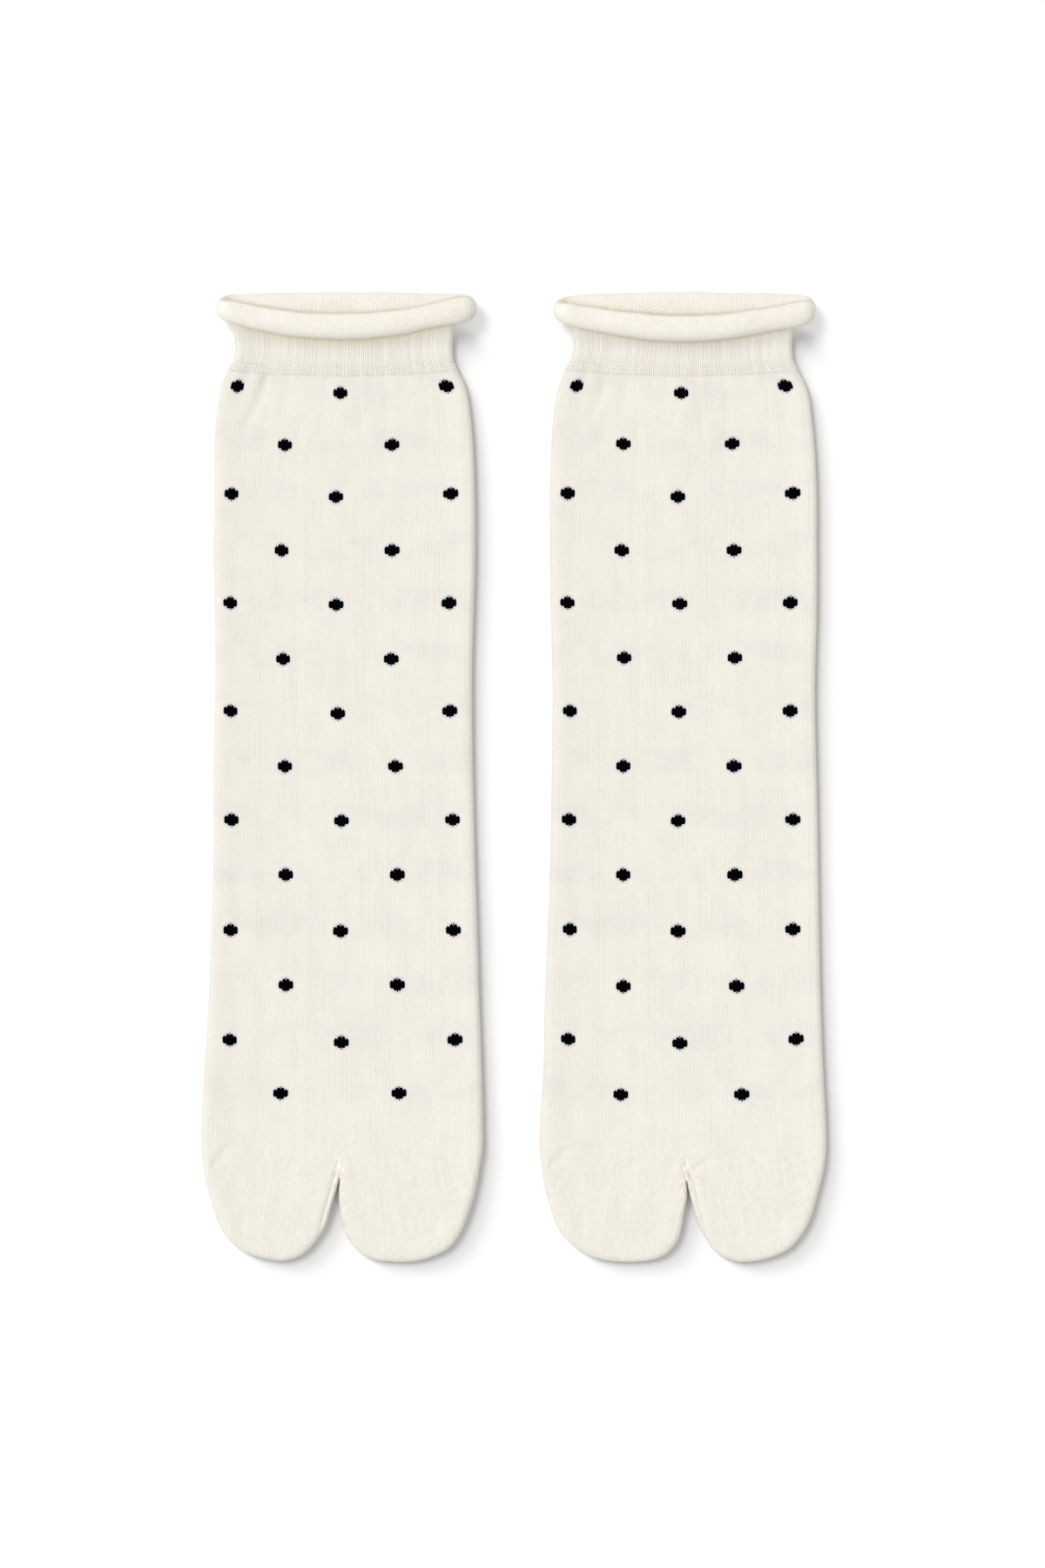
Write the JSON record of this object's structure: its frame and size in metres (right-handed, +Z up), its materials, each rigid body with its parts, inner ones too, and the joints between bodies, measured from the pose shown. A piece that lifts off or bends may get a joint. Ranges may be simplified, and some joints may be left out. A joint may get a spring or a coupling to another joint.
{
  "type": "pair of tabi socks",
  "caption": "Split-toe knitted socks laid flat side by side, each a pressed tube with a rolled edge, a narrow welt and separate toe pockets, in off-white with small dark dots.",
  "frame": {"origin": "middle of the pair's footprint, on the surface it lies on", "axes": "+X from the sock on the left to the one on the right, +Y from the toes to the mouths, +Z up out of the surface"},
  "size_m": [0.212, 0.3288, 0.0114],
  "materials": {
    "dotted_knit": "matt plain knit in off-white cotton with small knitted-in near-black dots",
    "toe_knit": "matt plain knit in off-white cotton",
    "welt_knit": "matt ribbed tuck knit in off-white cotton and elastic",
    "rolled_knit": "matt reverse side of a plain knit, slightly fuzzy, off-white"
  },
  "bodies": {
    "root": {"left_sock_rolled_edge": "rolled_knit", "left_sock_welt": "welt_knit", "left_sock_leg_and_foot": "dotted_knit", "left_sock_big_toe": "toe_knit", "left_sock_small_toes": "toe_knit", "right_sock_rolled_edge": "rolled_knit", "right_sock_welt": "welt_knit", "right_sock_leg_and_foot": "dotted_knit", "right_sock_big_toe": "toe_knit", "right_sock_small_toes": "toe_knit"}
  },
  "joints": []
}
